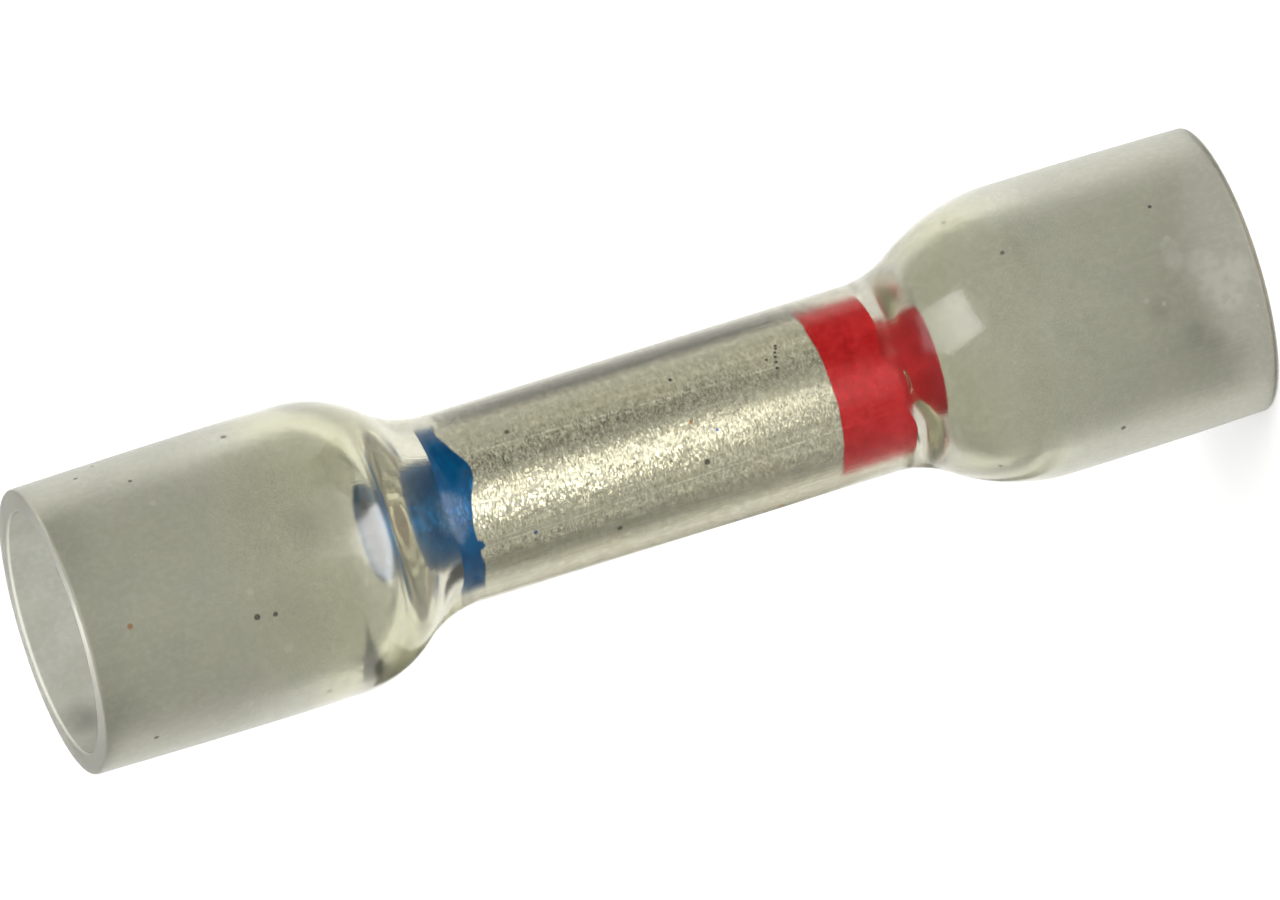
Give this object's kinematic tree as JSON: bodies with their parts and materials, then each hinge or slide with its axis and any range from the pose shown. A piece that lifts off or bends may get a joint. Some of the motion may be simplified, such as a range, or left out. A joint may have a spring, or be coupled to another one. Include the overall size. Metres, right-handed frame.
{
  "type": "butt splice connector",
  "caption": "Step-down butt splice: a plated crimp barrel with colour-marked ends inside a clear heat-shrink sleeve that flares to a bell at each end.",
  "frame": {"origin": "centre of the red end's rim, the face that it stands on", "axes": "+Z along the connector's axis, from the red end up to the blue end; X and Y are any two directions across it"},
  "size_m": [0.009, 0.009, 0.0376],
  "materials": {
    "clear_sleeve": "hazy clear, semi-gloss",
    "tin_plate": "tin plated, lightly scratched",
    "blue_ink": "glossy ink",
    "red_ink": "glossy ink"
  },
  "bodies": {
    "root": {"heat_shrink_sleeve": "clear_sleeve", "crimp_barrel": "tin_plate", "blue_ink_band": "blue_ink", "red_ink_band": "red_ink"}
  },
  "joints": []
}
